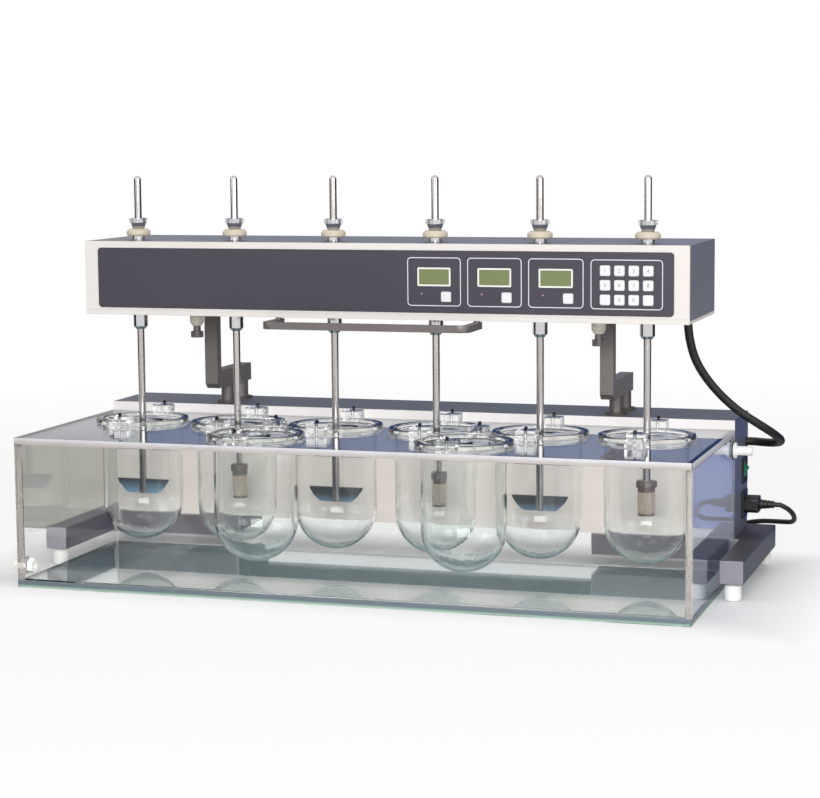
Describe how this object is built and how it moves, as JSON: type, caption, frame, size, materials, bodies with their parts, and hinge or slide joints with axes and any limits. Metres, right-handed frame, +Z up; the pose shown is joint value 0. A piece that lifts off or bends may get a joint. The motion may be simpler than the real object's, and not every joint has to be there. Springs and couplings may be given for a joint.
{
  "type": "dissolution tester",
  "caption": "Bench dissolution tester: a lifting control head turns stirrers with paddles and baskets in glass vessels that hang in a clear water bath.",
  "frame": {"origin": "on the bench, below the middle of the stirrer row", "axes": "+X to the right along the stirrer row, +Y to the back, +Z up"},
  "size_m": [0.9802, 0.5512, 0.523],
  "materials": {
    "ivory_paint": "satin ivory enamel",
    "cover_paint": "blue-grey enamel",
    "overlay_film": "matt dark film",
    "anodised_grey": "grey anodised",
    "steel": "ground steel",
    "chrome_plate": "bright chrome",
    "aluminium": "plain aluminium",
    "clear_acrylic": "clear polished sheet",
    "vessel_glass": "clear borosilicate",
    "white_plastic": "white moulded",
    "black_plastic": "black moulded",
    "black_rubber": "black rubber",
    "green_plastic": "green translucent",
    "key_plastic": "light grey",
    "board": "circuit board",
    "bronze": "bearing bronze"
  },
  "bodies": {
    "stand": {"base_frame": "anodised_grey", "base_feet": "white_plastic", "rear_housing": "cover_paint", "rear_panel": "ivory_paint", "guide_bushes": "bronze", "circulation_heater": "steel", "water_tank": "clear_acrylic", "vessel_plate": "clear_acrylic", "vessels": "vessel_glass", "vessel_clips": "clear_acrylic", "tank_nozzles": "white_plastic", "power_entry": "black_plastic", "head_conduit": "black_rubber", "mains_connector": "black_rubber", "mains_lead": "black_rubber", "mains_coil": "black_rubber", "mains_plug": "black_rubber"},
    "head": {"guide_posts": "steel", "support_arms": "anodised_grey", "head_chassis": "aluminium", "head_cover": "cover_paint", "head_panel": "ivory_paint", "panel_overlay": "overlay_film", "control_board": "board", "drive_motor": "aluminium", "drive_belt": "black_rubber", "spindle_bearings": "steel", "adjuster_sleeves": "white_plastic", "lifting_handle": "anodised_grey"},
    "spindle_1": {"spindle_1": "chrome_plate"},
    "spindle_2": {"spindle_2": "chrome_plate"},
    "spindle_3": {"spindle_3": "chrome_plate"},
    "spindle_4": {"spindle_4": "chrome_plate"},
    "spindle_5": {"spindle_5": "chrome_plate"},
    "spindle_6": {"spindle_6": "chrome_plate"},
    "drive_pulley": {"drive_pulley": "steel"},
    "stirrer_1": {"stirrer_1": "chrome_plate"},
    "stirrer_2": {"stirrer_2": "chrome_plate"},
    "stirrer_3": {"stirrer_3": "chrome_plate"},
    "stirrer_4": {"stirrer_4": "chrome_plate"},
    "stirrer_5": {"stirrer_5": "chrome_plate"},
    "stirrer_6": {"stirrer_6": "chrome_plate"},
    "thumb_screw_left": {"thumb_screw_left": "anodised_grey"},
    "thumb_screw_right": {"thumb_screw_right": "anodised_grey"},
    "key_1": {"key_1": "key_plastic"},
    "key_2": {"key_2": "key_plastic"},
    "key_3": {"key_3": "key_plastic"},
    "key_4": {"key_4": "key_plastic"},
    "key_5": {"key_5": "key_plastic"},
    "key_6": {"key_6": "key_plastic"},
    "key_7": {"key_7": "key_plastic"},
    "key_8": {"key_8": "key_plastic"},
    "key_9": {"key_9": "key_plastic"},
    "key_10": {"key_10": "key_plastic"},
    "key_11": {"key_11": "key_plastic"},
    "key_12": {"key_12": "key_plastic"},
    "set_key_1": {"set_key_1": "key_plastic"},
    "set_key_2": {"set_key_2": "key_plastic"},
    "set_key_3": {"set_key_3": "key_plastic"},
    "switch_rocker": {"switch_rocker": "green_plastic"}
  },
  "joints": [
    {"name": "head_lift", "type": "slide", "parent": "stand", "child": "head", "axis": [0, 0, 1], "range_m": [0, 0.1], "deforming": ["head_conduit"]},
    {"name": "spindle_1_spin", "type": "hinge", "parent": "head", "child": "spindle_1", "pos_m": [-0.345, 0, 0.38], "axis": [0, 0, 1], "continuous": true},
    {"name": "spindle_2_spin", "type": "hinge", "parent": "head", "child": "spindle_2", "pos_m": [-0.207, 0, 0.38], "axis": [0, 0, 1], "continuous": true},
    {"name": "spindle_3_spin", "type": "hinge", "parent": "head", "child": "spindle_3", "pos_m": [-0.069, 0, 0.38], "axis": [0, 0, 1], "continuous": true},
    {"name": "spindle_4_spin", "type": "hinge", "parent": "head", "child": "spindle_4", "pos_m": [0.069, 0, 0.38], "axis": [0, 0, 1], "continuous": true},
    {"name": "spindle_5_spin", "type": "hinge", "parent": "head", "child": "spindle_5", "pos_m": [0.207, 0, 0.38], "axis": [0, 0, 1], "continuous": true},
    {"name": "spindle_6_spin", "type": "hinge", "parent": "head", "child": "spindle_6", "pos_m": [0.345, 0, 0.38], "axis": [0, 0, 1], "continuous": true},
    {"name": "drive_pulley_spin", "type": "hinge", "parent": "head", "child": "drive_pulley", "pos_m": [0, 0.088, 0.4], "axis": [0, 0, 1], "continuous": true},
    {"name": "stirrer_1_slide", "type": "slide", "parent": "spindle_1", "child": "stirrer_1", "axis": [0, 0, 1], "range_m": [-0.035, 0.085]},
    {"name": "stirrer_2_slide", "type": "slide", "parent": "spindle_2", "child": "stirrer_2", "axis": [0, 0, 1], "range_m": [-0.035, 0.085]},
    {"name": "stirrer_3_slide", "type": "slide", "parent": "spindle_3", "child": "stirrer_3", "axis": [0, 0, 1], "range_m": [-0.035, 0.085]},
    {"name": "stirrer_4_slide", "type": "slide", "parent": "spindle_4", "child": "stirrer_4", "axis": [0, 0, 1], "range_m": [-0.035, 0.085]},
    {"name": "stirrer_5_slide", "type": "slide", "parent": "spindle_5", "child": "stirrer_5", "axis": [0, 0, 1], "range_m": [-0.035, 0.085]},
    {"name": "stirrer_6_slide", "type": "slide", "parent": "spindle_6", "child": "stirrer_6", "axis": [0, 0, 1], "range_m": [-0.035, 0.085]},
    {"name": "thumb_screw_left_turn", "type": "hinge", "parent": "head", "child": "thumb_screw_left", "pos_m": [-0.276, 0.03, 0.31], "axis": [0, 0, 1], "continuous": true},
    {"name": "thumb_screw_right_turn", "type": "hinge", "parent": "head", "child": "thumb_screw_right", "pos_m": [0.276, 0.03, 0.31], "axis": [0, 0, 1], "continuous": true},
    {"name": "key_1_press", "type": "slide", "parent": "head", "child": "key_1", "axis": [0, 1, 0], "range_m": [0, 0.0008], "stiffness_N_per_m": 1000},
    {"name": "key_2_press", "type": "slide", "parent": "head", "child": "key_2", "axis": [0, 1, 0], "range_m": [0, 0.0008], "stiffness_N_per_m": 1000},
    {"name": "key_3_press", "type": "slide", "parent": "head", "child": "key_3", "axis": [0, 1, 0], "range_m": [0, 0.0008], "stiffness_N_per_m": 1000},
    {"name": "key_4_press", "type": "slide", "parent": "head", "child": "key_4", "axis": [0, 1, 0], "range_m": [0, 0.0008], "stiffness_N_per_m": 1000},
    {"name": "key_5_press", "type": "slide", "parent": "head", "child": "key_5", "axis": [0, 1, 0], "range_m": [0, 0.0008], "stiffness_N_per_m": 1000},
    {"name": "key_6_press", "type": "slide", "parent": "head", "child": "key_6", "axis": [0, 1, 0], "range_m": [0, 0.0008], "stiffness_N_per_m": 1000},
    {"name": "key_7_press", "type": "slide", "parent": "head", "child": "key_7", "axis": [0, 1, 0], "range_m": [0, 0.0008], "stiffness_N_per_m": 1000},
    {"name": "key_8_press", "type": "slide", "parent": "head", "child": "key_8", "axis": [0, 1, 0], "range_m": [0, 0.0008], "stiffness_N_per_m": 1000},
    {"name": "key_9_press", "type": "slide", "parent": "head", "child": "key_9", "axis": [0, 1, 0], "range_m": [0, 0.0008], "stiffness_N_per_m": 1000},
    {"name": "key_10_press", "type": "slide", "parent": "head", "child": "key_10", "axis": [0, 1, 0], "range_m": [0, 0.0008], "stiffness_N_per_m": 1000},
    {"name": "key_11_press", "type": "slide", "parent": "head", "child": "key_11", "axis": [0, 1, 0], "range_m": [0, 0.0008], "stiffness_N_per_m": 1000},
    {"name": "key_12_press", "type": "slide", "parent": "head", "child": "key_12", "axis": [0, 1, 0], "range_m": [0, 0.0008], "stiffness_N_per_m": 1000},
    {"name": "set_key_1_press", "type": "slide", "parent": "head", "child": "set_key_1", "axis": [0, 1, 0], "range_m": [0, 0.0008], "stiffness_N_per_m": 1000},
    {"name": "set_key_2_press", "type": "slide", "parent": "head", "child": "set_key_2", "axis": [0, 1, 0], "range_m": [0, 0.0008], "stiffness_N_per_m": 1000},
    {"name": "set_key_3_press", "type": "slide", "parent": "head", "child": "set_key_3", "axis": [0, 1, 0], "range_m": [0, 0.0008], "stiffness_N_per_m": 1000},
    {"name": "switch_rock", "type": "hinge", "parent": "stand", "child": "switch_rocker", "pos_m": [0.4297, 0.18, 0.131], "axis": [0, 1, 0], "range_deg": [0, 16]}
  ],
  "couplings": [
    {"joint": "spindle_2_spin", "follows": "spindle_1_spin", "ratio": 1},
    {"joint": "spindle_3_spin", "follows": "spindle_1_spin", "ratio": 1},
    {"joint": "spindle_4_spin", "follows": "spindle_1_spin", "ratio": 1},
    {"joint": "spindle_5_spin", "follows": "spindle_1_spin", "ratio": 1},
    {"joint": "spindle_6_spin", "follows": "spindle_1_spin", "ratio": 1},
    {"joint": "drive_pulley_spin", "follows": "spindle_1_spin", "ratio": 2}
  ]
}
